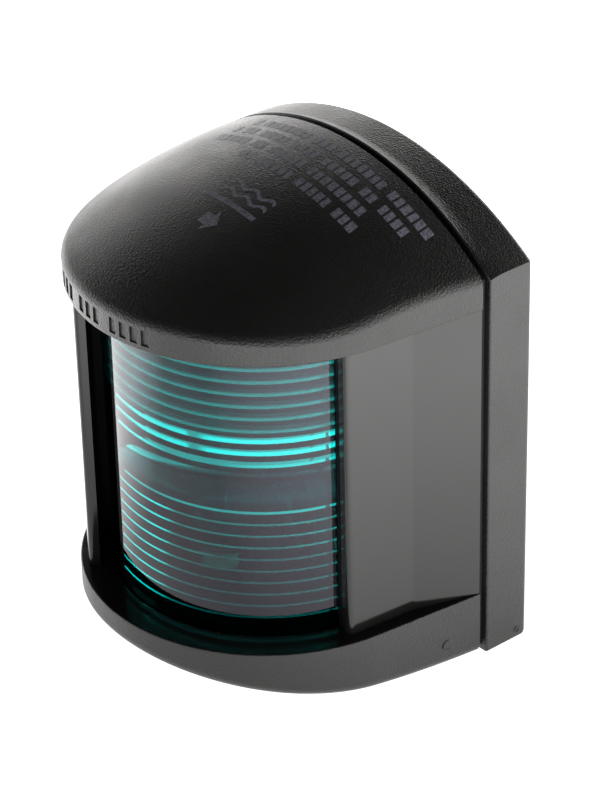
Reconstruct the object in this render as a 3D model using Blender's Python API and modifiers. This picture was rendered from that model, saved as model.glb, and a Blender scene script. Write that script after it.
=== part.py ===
"""Starboard side light for a small boat: black housing, green Fresnel lens, festoon lamp.

Frame: +X towards the bow, +Y into the bulkhead that carries the light, +Z up. The origin is the
middle of the flat mounting face. Heights in this file count from the bottom edge and "forward"
distances count from the mounting face towards -Y; the empty mount_frame moves them to the origin.
"""
import bmesh
import bpy
import math
from mathutils import Vector

MM = 0.001

# Driving dimensions, in millimetres
WIDTH = 65.0
ORIGIN_HEIGHT = 38.5            # height of the origin above the bottom edge
GAP = 0.3                       # clearance left between pieces that touch
OVERSHOOT = 2.0                 # how far a cutter runs past what it cuts

BASE_DEPTH = 8.6
BASE_SHOULDER = 67.3            # height of the straight sides
BASE_ARCH = 56.4                # radius of the rear arch
BASE_FLARE = 2.5                # depth over which the arch rises to meet the housing
BASE_WALL = 4.6
BASE_FLOOR = 2.6
BASE_CHAMFER = 0.8
SPIGOT_INSET = 2.9
SPIGOT_FRONT = 12.4

HOUSING_BACK = 9.8
HOUSING_HALF = 32.2
FRONT_RADIUS = 30.3
AXIS_FORWARD = 25.2             # vertical axis shared by the housing's front and the lens
CROWN = 78.7
ARCH_RADIUS = 50.8
DOME_RADIUS = 95.0
KEEL_RADIUS = 161.0
KEEL_START = 0.35
SHELL = 2.0
EDGE_ROUND = 1.4                # rounding of the dome's and the underside's edges
ATTIC_FLOOR = 66.0

WINDOW_LOW = 11.7
WINDOW_HIGH = 62.2
WINDOW_AFT = -28.5              # degrees round the lens axis from straight ahead, + to the bow
WINDOW_FORE = 75.0
SLOT_RADIUS = 27.4              # back of the slot between the lens and the aft screen
SLOT_END = -50.0
SCREEN_STEP = 1.2               # how far the curved aft screen lies inside the rim

LENS_RADIUS = 25.1
LENS_WALL = 1.3
LENS_FOOT = 1.1                 # how far the lens runs on above and below the window
RIB_PITCH = 2.1
RIB_DEPTH = 0.9
RIB_EDGE = 0.2
LIP_RADIUS = 22.3
SEAL_THICK = 0.4
POCKET_LOW = 9.8
POCKET_HIGH = 64.1

LAMP_FORWARD = 33.5
LAMP_MIDDLE = 34.5
LAMP_LENGTH = 41.0
GLASS_RADIUS = 5.5
GLASS_WALL = 0.6
NECK_RADIUS = 3.3
CAP_RADIUS = 4.2
CAP_RIM = 12.6                  # open edge of an end cap, from the lamp's middle

HOLDER_FRONT = 20.2
HOLDER_THICK = 2.2
HOLDER_HALF_WIDTH = 12.5
HOLDER_HALF_HEIGHT = 20.8
HOLDER_CORNER = 2.5
POST_X = 8.5
POST_RADIUS = 3.3
PILOT_RADIUS = 1.7

CONTACT_THICK = 0.5
CONTACT_WIDTH = 7.0
CONTACT_REACH = LAMP_FORWARD + 3.0
CONTACT_FOOT = 8.0              # near end of a contact's foot, from the lamp's middle
ARM_LEVEL = LAMP_LENGTH / 2.0 - 1.0     # inner face of a contact arm, from the lamp's middle
MOUTH_RADIUS = 2.3              # fork in a contact arm that holds the lamp's tip
TERMINAL_LEVEL = 11.5           # terminal screw, from the lamp's middle
RIVET_LEVEL = 16.3              # contact rivet, from the lamp's middle
TERMINAL_HOLE = 1.8
RIVET_HOLE = 1.3

SCREW_HOLE_X = 22.0
SCREW_HOLE_RADIUS = 2.2
SEAT_RADIUS = 5.2
SEAT_FRONT = 5.2
CABLE_X = -15.0
CABLE_HEIGHT = 17.0
CABLE_ENTRY_RADIUS = 5.0
CABLE_BORE_RADIUS = 3.3

COVER_SCREW_FORWARD = 16.0
COVER_SCREW_RADIUS = 1.95
SINK_RADIUS = 4.2               # counterbore for the cover screw's head
SINK_ROOF = 2.8
LUG_HALF = 6.0
LUG_FRONT = 20.0
LUG_LOW = 4.5
LUG_HIGH = 7.4
FORK_HALF = 2.3

BLACK = (0.012, 0.012, 0.012)
GREEN = (0.0, 0.45, 0.38)
STEEL = (0.55, 0.55, 0.54)
BRASS = (0.62, 0.44, 0.17)
NICKEL = (0.62, 0.60, 0.55)
NYLON = (0.72, 0.70, 0.63)
RUBBER = (0.02, 0.02, 0.022)
GLASS = (0.85, 0.90, 0.90)

ENDS = {"upper": 1.0, "lower": -1.0}
SIDES = {"aft": -1.0, "fore": 1.0}


def clear_scene():
    for old in list(bpy.data.objects):
        bpy.data.objects.remove(old, do_unlink=True)


clear_scene()
parts = bpy.data.collections.new("navigation_light")
cutters = bpy.data.collections.new("cutters")
bpy.context.scene.collection.children.link(parts)
bpy.context.scene.collection.children.link(cutters)

mount_frame = bpy.data.objects.new("mount_frame", None)
mount_frame.location = (0.0, 0.0, -ORIGIN_HEIGHT * MM)
parts.objects.link(mount_frame)


# ---------------------------------------------------------------- helpers

def material(name, colour, roughness, metallic, alpha):
    """A Principled material; each sub-part gets its own."""
    made = bpy.data.materials.new(name)
    made.use_nodes = True
    shader = made.node_tree.nodes["Principled BSDF"]
    shader.inputs["Base Color"].default_value = (*colour, 1.0)
    shader.inputs["Roughness"].default_value = roughness
    shader.inputs["Metallic"].default_value = metallic
    shader.inputs["Alpha"].default_value = alpha
    made.diffuse_color = (*colour, alpha)
    return made


def place(x, forward, height):
    """Millimetres in the part's own terms to metres under mount_frame."""
    return Vector((x * MM, -forward * MM, height * MM))


def new_object(name, mesh_builder, collection):
    """Turns a filled bmesh into an object under mount_frame."""
    mesh = bpy.data.meshes.new(name)
    bmesh.ops.recalc_face_normals(mesh_builder, faces=mesh_builder.faces)
    mesh_builder.to_mesh(mesh)
    mesh_builder.free()
    made = bpy.data.objects.new(name, mesh)
    made.parent = mount_frame
    collection.objects.link(made)
    return made


def finish_part(made, colour, roughness, metallic=0.0, alpha=1.0):
    """Gives a part its own material and smooth shading with sharp corners kept."""
    made.data.materials.append(material(made.name, colour, roughness, metallic, alpha))
    made.data.shade_smooth()
    made.data.set_sharp_from_angle(angle=math.radians(35.0))


def boolean(target, tool, operation="DIFFERENCE"):
    """Hides the tool as a cutter and applies it to the target."""
    tool.hide_render = True
    tool.display_type = "WIRE"
    modifier = target.modifiers.new(operation.lower() + "_" + tool.name, "BOOLEAN")
    modifier.operation = operation
    modifier.solver = "EXACT"
    modifier.object = tool


def extruded(points, step):
    """A closed outline of 3-D points, filled and extruded by a step vector."""
    builder = bmesh.new()
    face = builder.faces.new([builder.verts.new(point) for point in points])
    moved = bmesh.ops.extrude_face_region(builder, geom=[face])
    new_verts = [item for item in moved["geom"] if isinstance(item, bmesh.types.BMVert)]
    bmesh.ops.translate(builder, verts=new_verts, vec=step)
    return builder


def plan_prism(name, outline, low, high, collection):
    """An outline of (x, forward) pairs raised from one height to another."""
    points = [place(x, forward, low) for x, forward in outline]
    return new_object(name, extruded(points, Vector((0.0, 0.0, (high - low) * MM))), collection)


def face_prism(name, outline, back, front, collection):
    """An outline of (x, height) pairs carried from one forward distance to another."""
    points = [place(x, back, height) for x, height in outline]
    return new_object(name, extruded(points, Vector((0.0, -(front - back) * MM, 0.0))), collection)


def side_prism(name, outline, left, right, collection):
    """An outline of (forward, height) pairs carried across the width."""
    points = [place(left, forward, height) for forward, height in outline]
    return new_object(name, extruded(points, Vector(((right - left) * MM, 0.0, 0.0))), collection)


def box(name, low, high, collection):
    """A box between two corners given as (x, forward, height)."""
    outline = [(low[0], low[1]), (high[0], low[1]), (high[0], high[1]), (low[0], high[1])]
    return plan_prism(name, outline, low[2], high[2], collection)


def stacked(rings):
    """Bridges rings with equal point counts and closes the two ends."""
    builder = bmesh.new()
    loops = [[builder.verts.new(point) for point in ring] for ring in rings]
    count = len(loops[0])
    for lower, upper in zip(loops, loops[1:]):
        for i in range(count):
            j = (i + 1) % count
            builder.faces.new((lower[i], lower[j], upper[j], upper[i]))
    builder.faces.new(list(reversed(loops[0])))
    builder.faces.new(loops[-1])
    return builder


def turned(name, profile, centre, collection, direction="Z", steps=24):
    """A Screw-modifier turning: profile is (radius, along) pairs, listed top to bottom.

    direction Z keeps the axis upright; direction Y points the profile's top forward. The centre
    is an (x, forward, height) point on the axis, where the profile counts from.
    """
    mesh = bpy.data.meshes.new(name)
    builder = bmesh.new()
    verts = [builder.verts.new((radius * MM, 0.0, along * MM)) for radius, along in profile]
    for a, b in zip(verts, verts[1:]):
        builder.edges.new((a, b))
    if profile[0][0] > 0.0:
        builder.edges.new((verts[-1], verts[0]))
    builder.to_mesh(mesh)
    builder.free()
    made = bpy.data.objects.new(name, mesh)
    made.location = place(*centre)
    if direction == "Y":
        made.rotation_euler = (math.radians(90.0), 0.0, 0.0)
    made.parent = mount_frame
    collection.objects.link(made)
    screw = made.modifiers.new("turn", "SCREW")
    screw.steps = steps
    screw.render_steps = steps
    screw.use_merge_vertices = True
    screw.merge_threshold = 0.00001
    return made


def rod(radius, low, high):
    """Turning profile of a plain solid cylinder."""
    return [(0.0, high), (radius, high), (radius, low), (0.0, low)]


def ring(inner, outer, low, high):
    """Turning profile of a plain ring."""
    return [(outer, high), (outer, low), (inner, low), (inner, high)]


def flipped(profile):
    """The same turning profile upside down."""
    return [(radius, -along) for radius, along in reversed(profile)]


def pan_head(seat, head_radius, head_height, shank_radius, shank_end):
    """Turning profile of a screw whose head stands on the seat and whose shank runs down."""
    point = 0.3 * shank_radius
    return [(0.0, seat + head_height), (0.7 * head_radius, seat + 0.9 * head_height),
            (head_radius, seat + 0.5 * head_height), (head_radius, seat), (shank_radius, seat),
            (shank_radius, shank_end + point), (shank_radius - point, shank_end), (0.0, shank_end)]


def bore(target, name, radius, x, height, back, front):
    """Cuts a round hole along the forward direction."""
    boolean(target, turned(name, rod(radius, back, front), (x, 0.0, height), cutters, "Y"))


def well(target, name, radius, forward, low, high):
    """Cuts a round hole upwards on the middle plane."""
    boolean(target, turned(name, rod(radius, low, high), (0.0, forward, 0.0), cutters))


def arc(centre, radius, start, end, steps):
    """Points on a circle; angles in degrees, counted from the first axis to the second."""
    points = []
    for i in range(steps + 1):
        angle = math.radians(start + (end - start) * i / steps)
        points.append((centre[0] + radius * math.cos(angle), centre[1] + radius * math.sin(angle)))
    return points


def around_lens(radius, azimuth):
    """The (x, forward) point at a radius from the lens axis and an azimuth from straight ahead."""
    turn = math.radians(azimuth)
    return (radius * math.sin(turn), AXIS_FORWARD + radius * math.cos(turn))


# ---------------------------------------------------------------- shared outlines

def base_outline(inset, shoulder=BASE_SHOULDER, radius=BASE_ARCH):
    """Outline of the base seen from the front, as (x, height) pairs, moved inwards by inset."""
    half = WIDTH / 2.0
    centre = shoulder - math.sqrt(radius ** 2 - half ** 2)
    reach = math.degrees(math.acos((half - inset) / (radius - inset)))
    top = arc((0.0, centre), radius - inset, reach, 180.0 - reach, 20)
    return [(inset - half, inset), (half - inset, inset)] + top


def flared_outline():
    """The base's front edge: the same width under the housing's tighter arch."""
    rise = math.sqrt(ARCH_RADIUS ** 2 - (WIDTH / 2.0) ** 2)
    return base_outline(0.0, CROWN - ARCH_RADIUS + rise, ARCH_RADIUS)


def housing_outline(inset, back=HOUSING_BACK):
    """Plan of the housing as (x, forward): rear edge, two leaning sides and the round front."""
    half = HOUSING_HALF - inset
    radius = FRONT_RADIUS - inset
    reach = math.hypot(half, AXIS_FORWARD - back)
    tangent = math.degrees(math.acos(radius / reach) - math.atan2(AXIS_FORWARD - back, half))
    front = arc((0.0, AXIS_FORWARD), radius, tangent, 180.0 - tangent, 40)
    across = 12
    rear = [(-half + 2.0 * half * i / across, back) for i in range(across)]
    along = 4
    fore = front[0]
    side = [(half + (fore[0] - half) * i / along, back + (fore[1] - back) * i / along)
            for i in range(along)]
    aft = [(-x, forward) for x, forward in reversed(side[1:])]
    return rear + side + front + aft


def roof_height(x, forward):
    """Top of the housing: an arch across, carried forward round a larger radius."""
    across = ARCH_RADIUS - math.sqrt(ARCH_RADIUS ** 2 - x ** 2)
    ahead = max(forward - HOUSING_BACK, 0.0)
    return CROWN - across - (DOME_RADIUS - math.sqrt(DOME_RADIUS ** 2 - ahead ** 2))


def keel_height(x, forward):
    """Underside of the housing: level across at every x, rising towards the front."""
    return KEEL_START + max(forward - HOUSING_BACK, 0.0) ** 2 / (2.0 * KEEL_RADIUS)


def level(height):
    return lambda x, forward: height


def raised(surface, rise):
    return lambda x, forward: surface(x, forward) + rise


def shrunk(outline, scale, centre_forward):
    """An outline scaled in plan towards a point on the middle plane."""
    return [(x * scale, centre_forward + (forward - centre_forward) * scale) for x, forward in outline]


def domed_block(name, outlines, low, high, collection):
    """A block with curved ends: low and high hold one height surface for each outline."""
    rings = []
    for outline, height in reversed(list(zip(outlines, low))):
        rings.append([place(x, forward, height(x, forward)) for x, forward in outline])
    for outline, height in zip(outlines, high):
        rings.append([place(x, forward, height(x, forward)) for x, forward in outline])
    return new_object(name, stacked(rings), collection)


# ---------------------------------------------------------------- base

def base_plate():
    sections = [
        (0.0, base_outline(BASE_CHAMFER)),
        (BASE_CHAMFER, base_outline(0.0)),
        (BASE_DEPTH - BASE_FLARE, base_outline(0.0)),
        (BASE_DEPTH, flared_outline()),
    ]
    rings = [[place(x, forward, height) for x, height in outline] for forward, outline in sections]
    plate = new_object("base_plate", stacked(rings), parts)

    spigot = face_prism("spigot", base_outline(SPIGOT_INSET), BASE_FLOOR, SPIGOT_FRONT, cutters)
    boolean(plate, spigot, "UNION")
    hollow = face_prism("base_hollow", base_outline(BASE_WALL), BASE_FLOOR, SPIGOT_FRONT + OVERSHOOT, cutters)
    boolean(plate, hollow)

    groove_floor = BASE_DEPTH - 1.2
    groove = face_prism("seal_groove", base_outline(1.1), groove_floor, BASE_DEPTH + OVERSHOOT, cutters)
    land = face_prism("seal_land", base_outline(2.3), groove_floor - OVERSHOOT,
                      BASE_DEPTH + 2.0 * OVERSHOOT, cutters)
    boolean(groove, land)
    boolean(plate, groove)

    for side, sign in SIDES.items():
        x = sign * SCREW_HOLE_X
        seat_at = (x, 0.0, ORIGIN_HEIGHT)
        seat = turned("seat_" + side, rod(SEAT_RADIUS, 1.0, SEAT_FRONT), seat_at, cutters, "Y")
        boolean(plate, seat, "UNION")
        bore(plate, "hole_" + side, SCREW_HOLE_RADIUS, x, ORIGIN_HEIGHT, -OVERSHOOT, SEAT_FRONT + OVERSHOOT)

    post_front = HOLDER_FRONT - HOLDER_THICK - GAP
    for side, sign in SIDES.items():
        profile = [(0.0, post_front), (POST_RADIUS, post_front), (POST_RADIUS + GAP, 1.0), (0.0, 1.0)]
        post = turned("post_" + side, profile, (sign * POST_X, 0.0, LAMP_MIDDLE), cutters, "Y")
        boolean(plate, post, "UNION")
        bore(plate, "pilot_" + side, PILOT_RADIUS, sign * POST_X, LAMP_MIDDLE, 8.0, post_front + OVERSHOOT)

    bore(plate, "cable_entry", CABLE_ENTRY_RADIUS, CABLE_X, CABLE_HEIGHT, -OVERSHOOT, BASE_FLOOR + OVERSHOOT)

    lug = box("lug", (-LUG_HALF, BASE_FLOOR - 1.0, LUG_LOW), (LUG_HALF, LUG_FRONT, LUG_HIGH), cutters)
    boolean(plate, lug, "UNION")
    fork = box("fork", (-FORK_HALF, COVER_SCREW_FORWARD - FORK_HALF, LUG_LOW - OVERSHOOT),
               (FORK_HALF, LUG_FRONT + OVERSHOOT, LUG_HIGH + OVERSHOOT), cutters)
    boolean(plate, fork)
    finish_part(plate, BLACK, 0.38)


def cable_grommet():
    """Stepped rubber bush: a collar inside the base, a waist in its wall and a short sleeve."""
    waist = CABLE_ENTRY_RADIUS - GAP
    collar = CABLE_ENTRY_RADIUS + 1.4
    collar_back = BASE_FLOOR + GAP
    profile = [(CABLE_BORE_RADIUS, collar_back + 4.5), (CABLE_BORE_RADIUS + 1.0, collar_back + 4.5),
               (collar, collar_back + 1.5), (collar, collar_back), (waist, collar_back),
               (waist, GAP), (CABLE_BORE_RADIUS, GAP)]
    made = turned("cable_grommet", profile, (CABLE_X, 0.0, CABLE_HEIGHT), parts, "Y")
    finish_part(made, RUBBER, 0.7)


def cover_seal():
    """Rubber ring in the groove of the base, which the housing's rear edge presses on."""
    seal = face_prism("cover_seal", base_outline(1.3), BASE_DEPTH - 0.9, HOUSING_BACK - GAP, parts)
    inside = face_prism("cover_seal_inside", base_outline(2.1), 0.0, 2.0 * HOUSING_BACK, cutters)
    boolean(seal, inside)
    finish_part(seal, RUBBER, 0.75)


# ---------------------------------------------------------------- cover

def lens_bay(radius, back_half):
    """Plan of a room round the lens axis that stays open to the back of the housing."""
    front = arc((0.0, AXIS_FORWARD), radius, 0.0, 180.0, 40)
    back = HOUSING_BACK - 1.0
    return [(-back_half, back), (back_half, back)] + front


def window_sector():
    """Plan of everything outside the lens between the two edges of the window."""
    steps = 26
    far = 2.0 * FRONT_RADIUS
    outline = [around_lens(LENS_RADIUS - 2.0, WINDOW_AFT + (WINDOW_FORE - WINDOW_AFT) * i / steps)
               for i in range(steps + 1)]
    for azimuth in (WINDOW_FORE, (WINDOW_FORE + WINDOW_AFT) / 2.0, WINDOW_AFT):
        outline.append(around_lens(far, azimuth))
    return outline


def fore_recess():
    """Plan of what is cut away outside the two flat facets of the bow-side screen."""
    back = HOUSING_BACK - 1.0
    facets = [(HOUSING_HALF - 0.2, back), (28.7, 20.3), (27.5, 32.4), (27.3, 45.0)]
    return facets + [(WIDTH, 45.0), (WIDTH, back)]


def aft_recess():
    """Plan of what is cut away outside the curved aft screen, a step inside the rim."""
    back = HOUSING_BACK - 1.0
    edge = -4.0
    ahead = HOUSING_BACK + 3.0
    inside = [(x, forward) for x, forward in housing_outline(SCREEN_STEP) if x < edge and forward > ahead]
    return inside + [(0.2 - HOUSING_HALF, back), (-WIDTH, back), (-WIDTH, WIDTH), (edge, WIDTH)]


def aft_slot():
    """Plan of the dark slot that lets the aft screen stand clear of the lens."""
    steps = 8
    turns = [SLOT_END + (WINDOW_AFT + 2.0 - SLOT_END) * i / steps for i in range(steps + 1)]
    outline = [around_lens(LENS_RADIUS - 1.0, azimuth) for azimuth in turns]
    return outline + [around_lens(SLOT_RADIUS, azimuth) for azimuth in reversed(turns)]


def front_housing():
    outlines = [housing_outline(0.0), housing_outline(0.3 * EDGE_ROUND), housing_outline(EDGE_ROUND)]
    roofs = [raised(roof_height, -EDGE_ROUND), raised(roof_height, -0.35 * EDGE_ROUND), roof_height]
    keels = [raised(keel_height, EDGE_ROUND), raised(keel_height, 0.3 * EDGE_ROUND), keel_height]
    for scale in (0.8, 0.55, 0.3, 0.06):
        outlines.append(shrunk(housing_outline(EDGE_ROUND), scale, AXIS_FORWARD + 5.8))
        roofs.append(roof_height)
        keels.append(keel_height)
    shell = domed_block("front_housing", outlines, keels, roofs, parts)

    scales = (1.0, 0.7, 0.35, 0.08)
    loft = housing_outline(1.5 * SHELL, HOUSING_BACK - 1.0)
    plans = [shrunk(loft, scale, AXIS_FORWARD + 5.8) for scale in scales]
    floors = [level(ATTIC_FLOOR)] * len(scales)
    ceilings = [raised(roof_height, -SHELL)] * len(scales)
    attic = domed_block("attic", plans, floors, ceilings, cutters)
    boolean(shell, attic)
    bay = lens_bay(LIP_RADIUS, HOUSING_HALF - 3.6)
    cellar = domed_block("cellar", [shrunk(bay, scale, AXIS_FORWARD) for scale in scales],
                         [raised(keel_height, SHELL)] * len(scales), [level(ATTIC_FLOOR + 1.0)] * len(scales),
                         cutters)
    boolean(shell, cellar)
    pocket = plan_prism("lens_pocket", lens_bay(LENS_RADIUS + GAP, HOUSING_HALF - 4.8),
                        POCKET_LOW, POCKET_HIGH, cutters)
    boolean(shell, pocket)

    cuts = {"window": window_sector(), "fore_side": fore_recess(), "aft_side": aft_recess(),
            "aft_slot": aft_slot()}
    for name, outline in cuts.items():
        boolean(shell, plan_prism("cut_" + name, outline, WINDOW_LOW, WINDOW_HIGH, cutters))

    socket_front = SPIGOT_FRONT + 0.5
    socket = face_prism("spigot_socket", base_outline(SPIGOT_INSET - 0.4), HOUSING_BACK - 1.0,
                        socket_front, cutters)
    boolean(shell, socket)

    pad_end = (LUG_HALF, LUG_FRONT + 1.0, LUG_LOW - 0.4)
    pad = box("screw_pad", (-LUG_HALF, socket_front, 1.5), pad_end, cutters)
    boolean(shell, pad, "UNION")
    well(shell, "screw_sink", SINK_RADIUS, COVER_SCREW_FORWARD, -OVERSHOOT, SINK_ROOF)
    well(shell, "screw_way", COVER_SCREW_RADIUS + 0.35, COVER_SCREW_FORWARD, 1.0, LUG_LOW + 1.0)
    finish_part(shell, BLACK, 0.4)


def lens_slice(name, low, high):
    """The sector that the lens and its seals are cut to, a little wider than the window."""
    start = SLOT_END - 1.2
    span = WINDOW_FORE + 1.2 - start
    steps = 8
    far = 2.0 * FRONT_RADIUS
    outline = [(0.0, AXIS_FORWARD)]
    outline += [around_lens(far, start + span * i / steps) for i in range(steps + 1)]
    return plan_prism(name, outline, low - OVERSHOOT, high + OVERSHOOT, cutters)


def fresnel_lens():
    """Smooth outside, prism rings inside, each ring's sloping face turned to the middle."""
    low = WINDOW_LOW - LENS_FOOT
    high = WINDOW_HIGH + LENS_FOOT
    inner = LENS_RADIUS - LENS_WALL
    tip = inner - RIB_DEPTH
    profile = [(LENS_RADIUS, high), (LENS_RADIUS, low), (tip, low)]
    count = int((high - low - RIB_PITCH) / RIB_PITCH)
    start = (high + low - count * RIB_PITCH) / 2.0
    for i in range(count):
        foot = start + i * RIB_PITCH
        if i < count // 2:
            profile += [(tip, foot), (inner, foot + RIB_EDGE)]
        elif i == count // 2:
            profile += [(tip, foot), (tip, foot + RIB_PITCH)]
        else:
            profile += [(inner, foot), (tip, foot + RIB_PITCH - RIB_EDGE)]
    profile += [(tip, high)]
    lens = turned("fresnel_lens", profile, (0.0, AXIS_FORWARD, 0.0), parts, "Z", 72)
    boolean(lens, lens_slice("lens_slice", low, high), "INTERSECT")
    finish_part(lens, GREEN, 0.06, 0.0, 0.5)


def lens_seal(end):
    """Flat rubber strip between an end of the lens and the housing."""
    if end == "upper":
        low = WINDOW_HIGH + LENS_FOOT + 0.25
    else:
        low = WINDOW_LOW - LENS_FOOT - 0.25 - SEAL_THICK
    high = low + SEAL_THICK
    profile = ring(LIP_RADIUS + 0.4, LENS_RADIUS, low, high)
    seal = turned("lens_seal_" + end, profile, (0.0, AXIS_FORWARD, 0.0), parts, "Z", 72)
    boolean(seal, lens_slice("slice_seal_" + end, low, high), "INTERSECT")
    finish_part(seal, RUBBER, 0.75)


def cover_screw():
    """M4 pan head from below, clamping the housing to the fork of the base."""
    seat = SINK_ROOF - 2.0 * GAP - SEAL_THICK
    head_height = 1.3
    profile = flipped(pan_head(-seat, 3.7, head_height, COVER_SCREW_RADIUS, -11.6))
    screw = turned("cover_screw", profile, (0.0, COVER_SCREW_FORWARD, 0.0), parts)
    half_slot = 0.5
    slot = box("cover_screw_slot", (-SINK_RADIUS, COVER_SCREW_FORWARD - half_slot, -OVERSHOOT),
               (SINK_RADIUS, COVER_SCREW_FORWARD + half_slot, seat - 0.55 * head_height), cutters)
    boolean(screw, slot)
    finish_part(screw, STEEL, 0.25, 1.0)


def cover_screw_washer():
    low = SINK_ROOF - GAP - SEAL_THICK
    profile = ring(COVER_SCREW_RADIUS + 0.25, 3.7, low, low + SEAL_THICK)
    made = turned("cover_screw_washer", profile, (0.0, COVER_SCREW_FORWARD, 0.0), parts)
    finish_part(made, RUBBER, 0.75)


def cover_screw_nut():
    """Square nut that rests on the lug and pulls the housing's pad up against it."""
    low = LUG_HIGH + GAP
    high = low + 2.4
    half = 3.5
    nut = box("cover_screw_nut", (-half, COVER_SCREW_FORWARD - half, low),
              (half, COVER_SCREW_FORWARD + half, high), parts)
    well(nut, "cover_nut_thread", COVER_SCREW_RADIUS + 0.2, COVER_SCREW_FORWARD, low - OVERSHOOT,
         high + OVERSHOOT)
    finish_part(nut, BRASS, 0.35, 1.0)


# ---------------------------------------------------------------- lamp and its holder

def from_middle(end, distance):
    """Height at a distance above (upper) or below (lower) the lamp's middle."""
    return LAMP_MIDDLE + ENDS[end] * distance


def fastener_holes(target, end):
    """The terminal and rivet holes at one end of the holder or in a contact's foot."""
    back = HOLDER_FRONT - HOLDER_THICK - OVERSHOOT
    front = HOLDER_FRONT + OVERSHOOT
    holes = (("terminal", TERMINAL_LEVEL, TERMINAL_HOLE), ("rivet", RIVET_LEVEL, RIVET_HOLE))
    for kind, distance, radius in holes:
        name = target.name + "_" + end + "_" + kind
        bore(target, name, radius, 0.0, from_middle(end, distance), back, front)


def lamp_holder():
    """Nylon board with round corners that carries both contacts."""
    across = HOLDER_HALF_WIDTH - HOLDER_CORNER
    along = HOLDER_HALF_HEIGHT - HOLDER_CORNER
    outline = []
    corners = ((across, along), (-across, along), (-across, -along), (across, -along))
    for turn, (x, rise) in enumerate(corners):
        outline += arc((x, LAMP_MIDDLE + rise), HOLDER_CORNER, 90.0 * turn, 90.0 * turn + 90.0, 5)
    board = face_prism("lamp_holder", outline, HOLDER_FRONT - HOLDER_THICK, HOLDER_FRONT, parts)
    for side, sign in SIDES.items():
        bore(board, "holder_hole_" + side, PILOT_RADIUS + 0.1, sign * POST_X, LAMP_MIDDLE,
             HOLDER_FRONT - HOLDER_THICK - OVERSHOOT, HOLDER_FRONT + OVERSHOOT)
    for end in ENDS:
        fastener_holes(board, end)
    finish_part(board, NYLON, 0.5)


def slotted_screw(name, x, height, seat, head_radius, head_height, shank_radius, shank_end):
    """A pan-head screw pointing into the base, with its slot level."""
    profile = pan_head(seat, head_radius, head_height, shank_radius, shank_end)
    screw = turned(name, profile, (x, 0.0, height), parts, "Y", 20)
    half_slot = 0.4
    slot = box("slot_" + name, (x - head_radius - 1.0, seat + 0.55 * head_height, height - half_slot),
               (x + head_radius + 1.0, seat + head_height + 1.0, height + half_slot), cutters)
    boolean(screw, slot)
    finish_part(screw, STEEL, 0.25, 1.0)


def contact(end):
    """A bent strip: foot on the holder, arm under or over the lamp, forked to take its tip."""
    near = HOLDER_FRONT + GAP
    outer = from_middle(end, ARM_LEVEL + CONTACT_THICK)
    inner = from_middle(end, ARM_LEVEL)
    foot = from_middle(end, CONTACT_FOOT)
    outline = [(near, foot), (near, outer), (CONTACT_REACH, outer), (CONTACT_REACH, inner),
               (near + CONTACT_THICK, inner), (near + CONTACT_THICK, foot)]
    strip = side_prism("contact_" + end, outline, -CONTACT_WIDTH / 2.0, CONTACT_WIDTH / 2.0, parts)
    open_end = CONTACT_REACH + 1.0
    mouth = [(MOUTH_RADIUS + 0.4, open_end), (-MOUTH_RADIUS - 0.4, open_end)]
    mouth += arc((0.0, LAMP_FORWARD), MOUTH_RADIUS, -180.0, 0.0, 10)
    fork = plan_prism("mouth_" + end, mouth, inner - OVERSHOOT, inner + OVERSHOOT, cutters)
    boolean(strip, fork)
    fastener_holes(strip, end)
    finish_part(strip, BRASS, 0.3, 1.0)


def contact_rivet(end):
    face = HOLDER_FRONT + CONTACT_THICK + 2.0 * GAP
    back = HOLDER_FRONT - HOLDER_THICK - GAP
    head = 2.0
    stem = RIVET_HOLE - 0.25
    profile = [(0.0, face + 0.8), (0.65 * head, face + 0.6), (head, face), (stem, face), (stem, back),
               (head, back), (head, back - 0.6), (0.0, back - 0.6)]
    centre = (0.0, 0.0, from_middle(end, RIVET_LEVEL))
    finish_part(turned("contact_rivet_" + end, profile, centre, parts, "Y", 16), BRASS, 0.3, 1.0)


def terminal(end):
    """Clamp washer, M3 screw and the hexagon nut behind the holder."""
    height = from_middle(end, TERMINAL_LEVEL)
    face = HOLDER_FRONT + CONTACT_THICK + 2.0 * GAP
    washer_thick = 0.6
    profile = ring(TERMINAL_HOLE - 0.05, 2.9, face, face + washer_thick)
    washer = turned("clamp_washer_" + end, profile, (0.0, 0.0, height), parts, "Y", 20)
    finish_part(washer, NICKEL, 0.3, 1.0)
    slotted_screw("terminal_screw_" + end, 0.0, height, face + washer_thick + GAP, 2.6, 1.7, 1.45, 13.8)
    nut_front = HOLDER_FRONT - HOLDER_THICK - 0.4
    nut = face_prism("terminal_nut_" + end, arc((0.0, height), 3.1, 0.0, 300.0, 5), nut_front - 2.3,
                     nut_front, parts)
    bore(nut, "terminal_thread_" + end, 1.65, 0.0, height, nut_front - 2.3 - OVERSHOOT,
         nut_front + OVERSHOOT)
    finish_part(nut, BRASS, 0.35, 1.0)


def lamp_glass():
    """Tube with drawn-in necks, open at both ends where the caps close it."""
    neck_end = CAP_RIM + 1.4
    shoulder = 10.3
    upper = [(NECK_RADIUS - 0.4, neck_end), (NECK_RADIUS, neck_end - 0.4), (NECK_RADIUS, CAP_RIM - 0.4),
             (GLASS_RADIUS - 0.7, shoulder + 1.0), (GLASS_RADIUS, shoulder)]
    outside = upper + flipped(upper)
    inside = [(radius - GLASS_WALL, along) for radius, along in reversed(outside)]
    centre = (0.0, LAMP_FORWARD, LAMP_MIDDLE)
    finish_part(turned("lamp_glass", outside + inside, centre, parts), GLASS, 0.03, 0.0, 0.35)


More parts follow.
